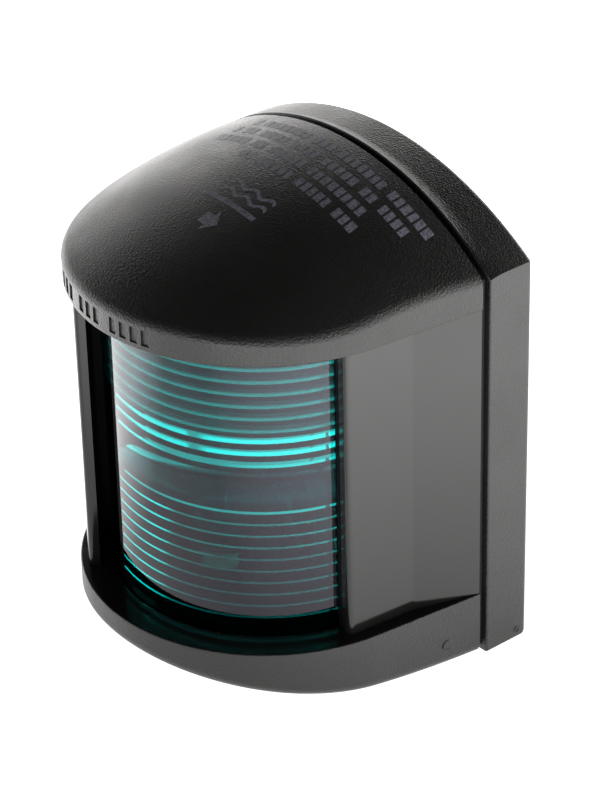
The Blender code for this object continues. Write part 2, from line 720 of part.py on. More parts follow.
def lamp_cap(end):
    """Metal end cap: a cup round the glass neck and a cone that sits in the contact's fork."""
    tip = LAMP_LENGTH / 2.0
    roof = CAP_RIM + 1.8
    cup = NECK_RADIUS + 0.4
    profile = [(0.0, tip), (1.2, tip), (1.6, tip - 0.5), (CAP_RADIUS - 0.4, tip - 2.7),
               (CAP_RADIUS, tip - 3.3), (CAP_RADIUS, CAP_RIM), (cup, CAP_RIM), (cup, roof), (0.0, roof)]
    if end == "lower":
        profile = flipped(profile)
    centre = (0.0, LAMP_FORWARD, LAMP_MIDDLE)
    finish_part(turned("lamp_cap_" + end, profile, centre, parts), NICKEL, 0.25, 1.0)


def lamp_filament():
    """One straight rod in the place of the coil and its two support wires."""
    half = CAP_RIM + 1.4
    centre = (0.0, LAMP_FORWARD, LAMP_MIDDLE)
    finish_part(turned("lamp_filament", rod(0.35, -half, half), centre, parts, "Z", 10), STEEL, 0.4, 1.0)


base_plate()
cable_grommet()
cover_seal()

front_housing()
fresnel_lens()
cover_screw()
cover_screw_washer()
cover_screw_nut()

lamp_holder()
for side_name, side_sign in SIDES.items():
    slotted_screw("holder_screw_" + side_name, side_sign * POST_X, LAMP_MIDDLE, HOLDER_FRONT + GAP,
                  2.7, 1.8, 1.4, 8.6)
for end_name in ENDS:
    lens_seal(end_name)
    contact(end_name)
    contact_rivet(end_name)
    terminal(end_name)
    lamp_cap(end_name)
lamp_glass()
lamp_filament()
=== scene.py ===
"""Looks for the starboard side light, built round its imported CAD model.

Sizes below are millimetres in the part's own terms: x towards the bow, "forward" out of the
bulkhead (-Y), and height up from the bottom edge. solid() turns them into the frame's metres.
"""
import math
import random

import bmesh
import bpy
from mathutils import Matrix, Vector


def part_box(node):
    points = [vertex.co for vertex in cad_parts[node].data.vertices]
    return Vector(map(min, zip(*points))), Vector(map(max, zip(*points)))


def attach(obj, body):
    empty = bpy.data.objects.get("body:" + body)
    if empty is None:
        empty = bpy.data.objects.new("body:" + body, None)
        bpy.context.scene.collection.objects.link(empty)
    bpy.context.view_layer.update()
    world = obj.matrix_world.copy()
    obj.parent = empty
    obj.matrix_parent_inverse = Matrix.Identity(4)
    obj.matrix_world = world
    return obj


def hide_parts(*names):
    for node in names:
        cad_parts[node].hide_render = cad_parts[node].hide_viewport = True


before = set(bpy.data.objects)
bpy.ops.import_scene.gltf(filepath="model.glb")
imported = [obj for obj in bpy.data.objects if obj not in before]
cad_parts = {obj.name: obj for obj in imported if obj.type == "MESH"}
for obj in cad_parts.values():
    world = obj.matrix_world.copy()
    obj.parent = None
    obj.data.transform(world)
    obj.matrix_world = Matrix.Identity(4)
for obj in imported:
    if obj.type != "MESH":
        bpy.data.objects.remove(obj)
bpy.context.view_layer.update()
MM = 0.001


def cad_box(node):
    """(low x, high x, back, front, bottom, top) of a CAD node in millimetres."""
    low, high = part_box(node)
    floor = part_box("base_plate")[0].z
    values = (low.x, high.x, -high.y, -low.y, low.z - floor, high.z - floor)
    return tuple(value / MM for value in values)


# ---------------------------------------------------------------- sizes
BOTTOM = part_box("base_plate")[0].z
BASE_HALF = cad_box("base_plate")[1]
HOUSING_HALF = cad_box("front_housing")[1]
HOUSING_BACK = cad_box("front_housing")[2]
HOUSING_FRONT = cad_box("front_housing")[3]
KEEL_START = cad_box("front_housing")[4]
CROWN = cad_box("front_housing")[5]
FRONT_RADIUS = 30.3
AXIS = HOUSING_FRONT - FRONT_RADIUS          # forward distance of the lens's vertical axis
ARCH_RADIUS = 50.8
DOME_RADIUS = 95.0
KEEL_RADIUS = 161.0
SHELL = 2.0

LENS_LOW = cad_box("fresnel_lens")[4]
LENS_HIGH = cad_box("fresnel_lens")[5]
LENS_RADIUS = cad_box("fresnel_lens")[3] - AXIS
LENS_FOOT = 1.1
WINDOW_LOW = LENS_LOW + LENS_FOOT
WINDOW_HIGH = LENS_HIGH - LENS_FOOT
WINDOW_AFT = -28.5
WINDOW_FORE = 75.0
LIP_RADIUS = 22.3
SLOT_RADIUS = 27.4
SLOT_END = -50.0
LENS_WALL = 1.3
MATT_RISE = 9.8                               # the lens is matt inside from here above its middle

BASE_DEPTH = 8.6
BASE_SHOULDER = 67.3
BASE_ARCH = 56.4
BASE_FLARE = 2.7
BASE_WALL = 4.6
BASE_FLOOR = 2.6
SPIGOT_INSET = 2.9
SPIGOT_FRONT = 12.4
ORIGIN_HEIGHT = -BOTTOM / MM
MOUNT_HOLE_X = 22.0
COVER_SCREW_FORWARD = 16.0

LAMP_MIDDLE = (cad_box("lamp_glass")[4] + cad_box("lamp_glass")[5]) / 2.0
LAMP_FORWARD = (cad_box("lamp_glass")[2] + cad_box("lamp_glass")[3]) / 2.0
POST_X = 8.5                                  # the two posts of the lamp holder
TERMINAL_HOLES = ((11.5, 1.8), (16.3, 1.3))   # (distance from the lamp's middle, radius)


# ---------------------------------------------------------------- mesh helpers

def metres(point):
    x, forward, height = point
    return Vector((x * MM, -forward * MM, height * MM + BOTTOM))


def solid(name, builder):
    """A closed mesh object from a bmesh whose points are in the part's millimetres."""
    for vert in builder.verts:
        vert.co = metres(vert.co)
    bmesh.ops.recalc_face_normals(builder, faces=builder.faces)
    mesh = bpy.data.meshes.new(name)
    builder.to_mesh(mesh)
    builder.free()
    made = bpy.data.objects.new(name, mesh)
    bpy.context.scene.collection.objects.link(made)
    return made


def loft(rings, builder=None):
    """Bridges rings of equal point counts and closes both ends, in a new or a given bmesh."""
    builder = builder or bmesh.new()
    loops = [[builder.verts.new(point) for point in ring] for ring in rings]
    count = len(loops[0])
    for lower, upper in zip(loops, loops[1:]):
        for i in range(count):
            j = (i + 1) % count
            builder.faces.new((lower[i], lower[j], upper[j], upper[i]))
    builder.faces.new(list(reversed(loops[0])))
    builder.faces.new(loops[-1])
    return builder


def plan_prism(name, outline, low, high):
    return solid(name, loft([[(x, forward, height) for x, forward in outline] for height in (low, high)]))


def face_prism(name, outline, back, front):
    return solid(name, loft([[(x, forward, height) for x, height in outline] for forward in (back, front)]))


def box(name, low, high):
    outline = [(low[0], low[1]), (high[0], low[1]), (high[0], high[1]), (low[0], high[1])]
    return plan_prism(name, outline, low[2], high[2])


def turned(name, profile, centre, direction="up", steps=64):
    """Turns a closed profile of (radius, along) points round an axis through the centre.

    The profile may start and end on the axis; direction is "up" or "forward".
    """
    builder = bmesh.new()
    columns = []
    for step in range(steps):
        turn = 2.0 * math.pi * step / steps
        column = []
        for radius, along in profile:
            if radius == 0.0 and columns:
                column.append(columns[0][len(column)])
                continue
            side, rise = radius * math.cos(turn), radius * math.sin(turn)
            offset = (side, rise, along) if direction == "up" else (side, along, rise)
            column.append(builder.verts.new([c + o for c, o in zip(centre, offset)]))
        columns.append(column)
    count = len(profile)
    for a, b in zip(columns, columns[1:] + columns[:1]):
        for i in range(count):
            j = (i + 1) % count
            corners = []
            for vert in (a[i], a[j], b[j], b[i]):
                if vert not in corners:
                    corners.append(vert)
            if len(corners) > 2:
                builder.faces.new(corners)
    return solid(name, builder)


def bore(name, radius, start, end, centre, direction="up", steps=64):
    """A plain cylinder for a hole, from start to end along its axis."""
    return turned(name, [(0.0, start), (radius, start), (radius, end), (0.0, end)], centre, direction, steps)


def arc(centre, radius, start, end, steps):
    """Points on a circle; angles in degrees, from the first axis to the second."""
    points = []
    for i in range(steps + 1):
        angle = math.radians(start + (end - start) * i / steps)
        points.append((centre[0] + radius * math.cos(angle), centre[1] + radius * math.sin(angle)))
    return points


def around_lens(radius, azimuth):
    turn = math.radians(azimuth)
    return (radius * math.sin(turn), AXIS + radius * math.cos(turn))


def rounded(corners, steps=6, support=0.35):
    """A polygon of (x, y, radius) corners with each corner rounded and a support point beside it."""
    points = []
    count = len(corners)
    for i, (x, y, radius) in enumerate(corners):
        here = Vector((x, y))
        before = Vector(corners[i - 1][:2]) - here
        after = Vector(corners[(i + 1) % count][:2]) - here
        if radius == 0.0:
            points.append((x, y))
            continue
        half_angle = before.angle(after) / 2.0
        before, after = before.normalized(), after.normalized()
        cut = radius / math.tan(half_angle)
        middle = here + (before + after).normalized() * radius / math.sin(half_angle)
        a, b = here + before * cut - middle, here + after * cut - middle
        points.append(tuple(here + before * (cut + support)))
        for step in range(steps + 1):
            angle = a.angle_signed(b) * (step / steps)
            points.append(tuple(middle + Matrix.Rotation(-angle, 2) @ a))
        points.append(tuple(here + after * (cut + support)))
    return points


def booleans(piece, tools):
    """Applies (operation, tool) pairs to the piece and removes the tools."""
    for operation, tool in tools:
        modifier = piece.modifiers.new("boolean", "BOOLEAN")
        modifier.operation = operation
        modifier.solver = "EXACT"
        modifier.object = tool
    graph = bpy.context.evaluated_depsgraph_get()
    mesh = bpy.data.meshes.new_from_object(piece.evaluated_get(graph))
    piece.modifiers.clear()
    piece.data = mesh
    for _, tool in tools:
        bpy.data.objects.remove(tool)
    return piece


def dress(piece, shader, body, slot, *nodes, sharp=28.0):
    """Material, shading, body, slot (not used) and the CAD nodes that the piece stands for."""
    piece.data.materials.clear()
    piece.data.materials.append(shader)
    piece.data.shade_smooth()
    piece.data.set_sharp_from_angle(angle=math.radians(sharp))
    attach(piece, body)
    if nodes:
        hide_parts(*nodes)
    return piece


# ---------------------------------------------------------------- materials

def new_material(name, colour, roughness, metallic=0.0, **sockets):
    made = bpy.data.materials.new(name)
    made.use_nodes = True
    shader = made.node_tree.nodes["Principled BSDF"]
    shader.inputs["Base Color"].default_value = (*colour, 1.0)
    shader.inputs["Roughness"].default_value = roughness
    shader.inputs["Metallic"].default_value = metallic
    for socket, value in sockets.items():
        shader.inputs[socket.replace("_", " ")].default_value = value
    return made


def texture(made, kind, scale, **settings):
    """A 3-D texture node in object space; scale counts cells per metre."""
    nodes, links = made.node_tree.nodes, made.node_tree.links
    coordinates = nodes.get("Texture Coordinate") or nodes.new("ShaderNodeTexCoord")
    made_node = nodes.new(kind)
    links.new(coordinates.outputs["Object"], made_node.inputs["Vector"])
    made_node.inputs["Scale"].default_value = scale
    for socket, value in settings.items():
        made_node.inputs[socket].default_value = value
    return made_node


def ramp(made, source, low, high, dark, light, interpolation="LINEAR"):
    """Maps a texture's values between low and high to a span of values."""
    node = made.node_tree.nodes.new("ShaderNodeMapRange")
    node.interpolation_type = interpolation
    made.node_tree.links.new(source, node.inputs["Value"])
    for socket, value in (("From Min", low), ("From Max", high), ("To Min", dark), ("To Max", light)):
        node.inputs[socket].default_value = value
    return node.outputs["Result"]


def bump(made, heights, strength, distance):
    """Adds a bump from (height output, ...) in a chain."""
    nodes, links = made.node_tree.nodes, made.node_tree.links
    normal = None
    for height in heights:
        node = nodes.new("ShaderNodeBump")
        node.inputs["Strength"].default_value = strength
        node.inputs["Distance"].default_value = distance
        links.new(height, node.inputs["Height"])
        if normal:
            links.new(normal, node.inputs["Normal"])
        normal = node.outputs["Normal"]
    links.new(normal, nodes["Principled BSDF"].inputs["Normal"])


def tint(made, factor, first, second):
    """Base colour mixed between two colours by a factor output."""
    nodes, links = made.node_tree.nodes, made.node_tree.links
    mix = nodes.new("ShaderNodeMix")
    mix.data_type = "RGBA"
    links.new(factor, mix.inputs["Factor"])
    mix.inputs["A"].default_value = (*first, 1.0)
    mix.inputs["B"].default_value = (*second, 1.0)
    links.new(mix.outputs["Result"], nodes["Principled BSDF"].inputs["Base Color"])


BLACK = (0.009, 0.0088, 0.0085)
DUST = (0.34, 0.32, 0.30)


def dusty_black(name, roughness, grain, grain_depth, dust):
    """Black moulded plastic: fine grain, uneven gloss and scattered specks of dust."""
    made = new_material(name, BLACK, roughness)
    links = made.node_tree.links
    shader = made.node_tree.nodes["Principled BSDF"]
    patches = texture(made, "ShaderNodeTexNoise", 90.0, Detail=4.0)
    gloss = ramp(made, patches.outputs["Fac"], 0.3, 0.7, roughness - 0.05, roughness + 0.07)
    links.new(gloss, shader.inputs["Roughness"])
    specks = texture(made, "ShaderNodeTexVoronoi", 260.0)
    lone = texture(made, "ShaderNodeTexNoise", 700.0)
    near = ramp(made, specks.outputs["Distance"], 0.02, 0.05, 1.0, 0.0)
    some = ramp(made, lone.outputs["Fac"], 0.60, 0.64, 0.0, dust)
    both = made.node_tree.nodes.new("ShaderNodeMath")
    both.operation = "MULTIPLY"
    links.new(near, both.inputs[0])
    links.new(some, both.inputs[1])
    tint(made, both.outputs["Value"], BLACK, DUST)
    if grain_depth:
        fine = texture(made, "ShaderNodeTexNoise", grain, Detail=3.0, Roughness=0.6)
        cells = texture(made, "ShaderNodeTexVoronoi", grain * 0.8)
        bump(made, [fine.outputs["Fac"], cells.outputs["Distance"]], 1.0, grain_depth)
    return made


GRAINED = dusty_black("grained_black", 0.36, 3600.0, 0.00006, 1.0)
POLISHED = dusty_black("polished_black", 0.16, 2500.0, 0.0, 0.5)


def rubber_material():
    made = new_material("black_rubber", (0.014, 0.014, 0.015), 0.62)
    fine = texture(made, "ShaderNodeTexNoise", 2500.0, Detail=2.0)
    bump(made, [fine.outputs["Fac"]], 0.6, 0.00004)
    return made


def metal_material(name, colour, roughness, brushed, colour_far):
    made = new_material(name, colour, roughness, 1.0)
    wear = texture(made, "ShaderNodeTexNoise", 420.0, Detail=5.0)
    tint(made, ramp(made, wear.outputs["Fac"], 0.35, 0.7, 0.0, 1.0), colour, colour_far)
    gloss = ramp(made, wear.outputs["Fac"], 0.3, 0.7, roughness - 0.06, roughness + 0.12)
    made.node_tree.links.new(gloss, made.node_tree.nodes["Principled BSDF"].inputs["Roughness"])
    lines = texture(made, "ShaderNodeTexNoise", brushed, Detail=2.0)
    bump(made, [lines.outputs["Fac"]], 0.3, 0.00002)
    return made


def nylon_material():
    made = new_material("white_nylon", (0.68, 0.66, 0.58), 0.48,
                        Subsurface_Weight=0.15, Subsurface_Scale=0.002)
    soft = texture(made, "ShaderNodeTexNoise", 160.0, Detail=4.0)
    tint(made, ramp(made, soft.outputs["Fac"], 0.3, 0.7, 0.0, 1.0), (0.70, 0.68, 0.61), (0.60, 0.57, 0.48))
    fine = texture(made, "ShaderNodeTexNoise", 2400.0)
    bump(made, [fine.outputs["Fac"]], 0.4, 0.00003)
    return made


def ink_material():
    made = new_material("pale_ink", (0.17, 0.17, 0.21), 0.5)
    patchy = texture(made, "ShaderNodeTexNoise", 2600.0, Detail=3.0)
    tint(made, ramp(made, patchy.outputs["Fac"], 0.42, 0.62, 0.0, 1.0),
         (0.20, 0.20, 0.25), (0.09, 0.09, 0.115))
    return made


def lens_material(name, colour, roughness):
    """Clear plastic tinted sea-green, with a slight flow unevenness in its surface."""
    made = new_material(name, colour, roughness, IOR=1.5, Transmission_Weight=1.0,
                        Specular_IOR_Level=0.22, Specular_Tint=(0.86, 0.84, 1.0, 1.0))
    flow = texture(made, "ShaderNodeTexNoise", 130.0, Detail=1.0)
    bump(made, [flow.outputs["Fac"]], 0.25, 0.00003)
    return made


def glass_material():
    made = new_material("lamp_glass", (0.93, 0.96, 0.97), 0.01, IOR=1.47, Transmission_Weight=1.0)
    soot = texture(made, "ShaderNodeTexNoise", 240.0, Detail=3.0)
    tint(made, ramp(made, soot.outputs["Fac"], 0.35, 0.75, 0.0, 1.0), (0.95, 0.97, 0.98), (0.72, 0.73, 0.74))
    return made


RUBBER = rubber_material()
STEEL = metal_material("stainless_steel", (0.60, 0.59, 0.57), 0.24, 3000.0, (0.44, 0.43, 0.41))
BRASS = metal_material("turned_brass", (0.66, 0.46, 0.17), 0.30, 2600.0, (0.42, 0.28, 0.11))
STRIP = metal_material("spring_brass", (0.72, 0.56, 0.27), 0.26, 2200.0, (0.55, 0.42, 0.20))
NICKEL = metal_material("nickel_plate", (0.66, 0.64, 0.58), 0.20, 2800.0, (0.48, 0.45, 0.39))
TUNGSTEN = metal_material("tungsten", (0.34, 0.34, 0.36), 0.35, 4000.0, (0.22, 0.22, 0.24))
NYLON = nylon_material()
INK = ink_material()
LENS = lens_material("green_lens", (0.0, 0.25, 0.24), 0.015)
LENS_MATT = lens_material("green_lens_matt", (0.0, 0.17, 0.175), 0.32)
# Painted shade: a near-black, barely reflective copy of the black moulding, put on the faces deep in the
# slots beside the lens.
SLOT_PAINTED_SHADE = new_material("slot_painted_shade", (0.004, 0.004, 0.005), 0.5, Specular_IOR_Level=0.15)
LAMP_GLASS = glass_material()


# ---------------------------------------------------------------- cover

def roof(x, forward):
    across = ARCH_RADIUS - math.sqrt(ARCH_RADIUS ** 2 - x ** 2)
    ahead = max(forward - HOUSING_BACK, 0.0)
    return CROWN - across - (DOME_RADIUS - math.sqrt(DOME_RADIUS ** 2 - ahead ** 2))


def keel(forward):
    return KEEL_START + max(forward - HOUSING_BACK, 0.0) ** 2 / (2.0 * KEEL_RADIUS)


def housing_outline(inset, back=HOUSING_BACK, rear=24, side=14, front=200):
    """Plan of the housing: rear edge, two leaning sides and the round front."""
    half = HOUSING_HALF - inset
    radius = FRONT_RADIUS - inset
    reach = math.hypot(half, AXIS - back)
    tangent = math.degrees(math.acos(radius / reach) - math.atan2(AXIS - back, half))
    curve = arc((0.0, AXIS), radius, tangent, 180.0 - tangent, front)
    points = [(-half + 2.0 * half * i / rear, back) for i in range(rear)]
    fore = curve[0]
    edge = [(half + (fore[0] - half) * i / side, back + (fore[1] - back) * i / side) for i in range(side)]
    aft = [(-x, forward) for x, forward in reversed(edge[1:])]
    return points + edge + curve + aft


TOP_ROUND = 1.1
KEEL_ROUND = 1.8
LIP_ROUND = 0.3
CORE_INSET = 7.0
PLAN_CENTRE = AXIS + 5.8


def toward_centre(outline, scale, centre=PLAN_CENTRE):
    return [(x * scale, centre + (forward - centre) * scale) for x, forward in outline]


def spool_rings():
    """The housing's outside from the middle of its underside to the top of its dome."""
    rings = []
    under = housing_outline(KEEL_ROUND)
    for scale in (0.03, 0.15, 0.3, 0.45, 0.6, 0.75, 0.88, 0.97):
        rings.append([(x, f, keel(f)) for x, f in toward_centre(under, scale)])
    for step in range(9):
        turn = math.radians(90.0 - 90.0 * step / 8)
        outline = housing_outline(KEEL_ROUND * (1.0 - math.cos(turn)))
        rings.append([(x, f, keel(f) + KEEL_ROUND * (1.0 - math.sin(turn))) for x, f in outline])
    wall = housing_outline(0.0)
    rings.append([(x, f, keel(f) + KEEL_ROUND + 0.3) for x, f in wall])
    for height in (WINDOW_LOW - LIP_ROUND - 0.3, WINDOW_LOW - LIP_ROUND):
        rings.append([(x, f, height) for x, f in wall])
    for step in range(1, 5):
        turn = math.radians(90.0 * step / 4)
        outline = housing_outline(LIP_ROUND * (1.0 - math.cos(turn)))
        rings.append([(x, f, WINDOW_LOW - LIP_ROUND * (1.0 - math.sin(turn))) for x, f in outline])
    for inset, height in ((LIP_ROUND + 0.3, WINDOW_LOW), (CORE_INSET, WINDOW_LOW),
                          (CORE_INSET, WINDOW_HIGH), (LIP_ROUND + 0.3, WINDOW_HIGH)):
        rings.append([(x, f, height) for x, f in housing_outline(inset)])
    for step in range(4, -1, -1):
        turn = math.radians(90.0 * step / 4)
        outline = housing_outline(LIP_ROUND * (1.0 - math.cos(turn)))
        rings.append([(x, f, WINDOW_HIGH + LIP_ROUND * (1.0 - math.sin(turn))) for x, f in outline])
    rings.append([(x, f, WINDOW_HIGH + LIP_ROUND + 0.3) for x, f in wall])
    rings.append([(x, f, roof(x, f) - TOP_ROUND - 0.3) for x, f in wall])
    for step in range(9):
        turn = math.radians(90.0 * step / 8)
        outline = housing_outline(TOP_ROUND * (1.0 - math.cos(turn)))
        rings.append([(x, f, roof(x, f) - TOP_ROUND * (1.0 - math.sin(turn))) for x, f in outline])
    top = housing_outline(TOP_ROUND)
    for step in range(1, 30):
        scale = 1.0 - step / 30.0
        rings.append([(x, f, roof(x, f)) for x, f in toward_centre(top, scale)])
    return rings


def screen_plan_fore():
    """The bow-side screen: two facets, a rounded front corner and the return to the lens."""
    inner = LENS_RADIUS - 2.5
    facet_edge, front_corner = (28.7, 20.3, 3.0), (27.5, 32.35, 0.8)
    return rounded([(HOUSING_HALF - 0.2, HOUSING_BACK, 0.0), facet_edge, front_corner,
                    (*around_lens(inner, WINDOW_FORE + 0.4), 0.0), (*around_lens(inner, 84.0), 0.0),
                    (27.0, HOUSING_BACK, 0.0)])


def screen_plan_aft():
    """The curved aft screen, a step inside the rim, with a rounded front edge."""
    step = 1.2
    radius = FRONT_RADIUS - step
    inner = LENS_RADIUS - 2.5
    turn = math.degrees(0.9 / radius)
    corner = rounded([(*around_lens(radius, WINDOW_AFT - 3.0 * turn), 0.0),
                      (*around_lens(radius, WINDOW_AFT), 0.7), (*around_lens(inner, WINDOW_AFT), 0.0)])[1:-1]
    outer = [p for p in housing_outline(step) if p[0] < -8.0 and p[1] > HOUSING_BACK]
    outer = [p for p in outer if math.degrees(math.atan2(p[0], p[1] - AXIS)) < WINDOW_AFT - 2.5 * turn]
    return corner + [around_lens(inner, WINDOW_AFT), around_lens(inner, -84.0), (-27.0, HOUSING_BACK),
                     (0.2 - HOUSING_HALF, HOUSING_BACK)] + list(reversed(outer))


def slot_plan(start, stop, radius):
    """The slot between the lens and a screen; its faces get a near-black painted-shade material."""
    turns = [start + (stop - start) * i / 24 for i in range(25)]
    inner = [around_lens(LENS_RADIUS - 1.0, azimuth) for azimuth in turns]
    return inner + [around_lens(radius, azimuth) for azimuth in reversed(turns)]


def lens_bay(radius, half):
    """Plan of the room behind the lens: square at the back, round in front."""
    back = HOUSING_BACK - 1.0
    return [(-half, back), (half, back)] + arc((0.0, AXIS), radius, 0.0, 180.0, 90)


def band_marks():
    """Shallow blocks sunk in the band, where such a cover carries its ratings."""
    builder = bmesh.new()
    low, high, sunk = WINDOW_HIGH + 0.9, WINDOW_HIGH + 3.5, 0.28
    wide, spacing, gap = 2.5, 4.0, 3.4
    azimuth = -27.0
    for count in (3, 3, 4):
        for _ in range(count):
            rings = []
            for height in (low, high):
                near = [around_lens(FRONT_RADIUS - sunk, azimuth + wide * i / 3) for i in range(4)]
                far = [around_lens(FRONT_RADIUS + 1.0, azimuth + wide * i / 3) for i in range(4)]
                rings.append([(x, f, height) for x, f in near + far[::-1]])
            loft(rings, builder)
            azimuth += spacing
        azimuth += gap
    return solid("band_mark_tool", builder)


def cover():
    shell = solid("cover_shell", loft(spool_rings()))
    tools = [("UNION", plan_prism("fore_screen", screen_plan_fore(), WINDOW_LOW - 1.0, WINDOW_HIGH + 1.0)),
             ("UNION", plan_prism("aft_screen", screen_plan_aft(), WINDOW_LOW - 1.0, WINDOW_HIGH + 1.0))]
    inner = housing_outline(1.5 * SHELL, HOUSING_BACK - 1.0, 12, 4, 60)
    attic_floor, cellar_top = 66.0, 67.0
    attic = [[(x, f, attic_floor) for x, f in toward_centre(inner, scale)] for scale in (0.05, 1.0)]
    for scale in (1.0, 0.7, 0.4, 0.05):
        attic.append([(x, f, roof(x, f) - SHELL) for x, f in toward_centre(inner, scale)])
    tools.append(("DIFFERENCE", solid("attic", loft(attic))))
    bay = lens_bay(LIP_RADIUS, HOUSING_HALF - 3.6)
    cellar = [[(x, f, cellar_top) for x, f in bay], [(x, f, keel(f) + SHELL) for x, f in bay]]
    for scale in (0.7, 0.4, 0.05):
        cellar.append([(x, f, keel(f) + SHELL) for x, f in toward_centre(bay, scale, AXIS)])
    tools.append(("DIFFERENCE", solid("cellar", loft(cellar))))
    pocket = lens_bay(LENS_RADIUS + 0.3, HOUSING_HALF - 4.8)
    tools.append(("DIFFERENCE", plan_prism("pocket", pocket, LENS_LOW - 0.8, LENS_HIGH + 0.8)))
    for name, start, stop, radius in (("aft_slot", SLOT_END, WINDOW_AFT + 4.0, SLOT_RADIUS),
                                      ("fore_slot", WINDOW_FORE - 3.0, WINDOW_FORE + 7.0, LENS_RADIUS + 1.0)):
        slot = plan_prism(name, slot_plan(start, stop, radius), WINDOW_LOW, WINDOW_HIGH)
        tools.append(("DIFFERENCE", slot))
    post = slot_plan(WINDOW_FORE + 0.3, WINDOW_FORE + 9.0, LENS_RADIUS + 0.6)
    post = toward_centre(post[:25], 0.93, AXIS) + post[25:]
    tools.append(("UNION", plan_prism("fore_post", post, WINDOW_LOW - 0.5, WINDOW_HIGH + 0.5)))
    socket = base_outline(SPIGOT_INSET - 0.4)
    tools.append(("DIFFERENCE", face_prism("socket", socket, HOUSING_BACK - 1.0, SPIGOT_FRONT + 0.5)))
    tools.append(("UNION", box("screw_pad", (-6.0, SPIGOT_FRONT + 0.5, 1.5), (6.0, 21.0, 4.1))))
    axis = (0.0, COVER_SCREW_FORWARD, 0.0)
    tools.append(("DIFFERENCE", bore("sink", 4.2, -2.0, 2.8, axis)))
    tools.append(("DIFFERENCE", bore("way", 2.3, 1.0, 6.0, axis)))
    tools.append(("DIFFERENCE", band_marks()))
    booleans(shell, tools)
    dress(shell, GRAINED, "cover", "black_moulding", "front_housing")
    shell.data.materials.append(POLISHED)
    shell.data.materials.append(SLOT_PAINTED_SHADE)
    # The screens and the ledge below the lens are polished. The faces in the slots beside the lens get a
    # near-black, barely reflective material as painted shade.
    ledge, ceiling = BOTTOM + (WINDOW_LOW + 0.02) * MM, BOTTOM + (WINDOW_HIGH - 0.02) * MM
    fore_reach, aft_reach = 26.4, SLOT_RADIUS + 0.2
    for face in shell.data.polygons:
        centre = face.center
        if not (ledge < centre.z < ceiling or abs(centre.z - ledge) < 0.0001):
            continue
        forward = -centre.y / MM - AXIS
        radius = math.hypot(centre.x / MM, forward)
        azimuth = math.degrees(math.atan2(centre.x / MM, forward))
        in_slot = radius < fore_reach or radius < aft_reach and azimuth < WINDOW_AFT - 0.5
        # Faces in the slots get the painted-shade material (slot 2); the rest of the window band is polished.
        face.material_index = 2 if in_slot and ledge + 0.0002 < centre.z else 1


# ---------------------------------------------------------------- base

def base_outline(inset, shoulder=BASE_SHOULDER, radius=BASE_ARCH, corner=0.0, steps=72):
    """Outline of the base from the front, as (x, height) pairs, moved inwards by inset."""
    half = BASE_HALF
    centre = shoulder - math.sqrt(radius ** 2 - half ** 2)
    reach = math.degrees(math.acos((half - inset) / (radius - inset)))
    top = arc((0.0, centre), radius - inset, reach, 180.0 - reach, steps)
    if not corner:
        return [(inset - half, inset), (half - inset, inset)] + top
    return rounded([(inset - half, inset, corner), (half - inset, inset, corner)] + [(*p, 0.0) for p in top])


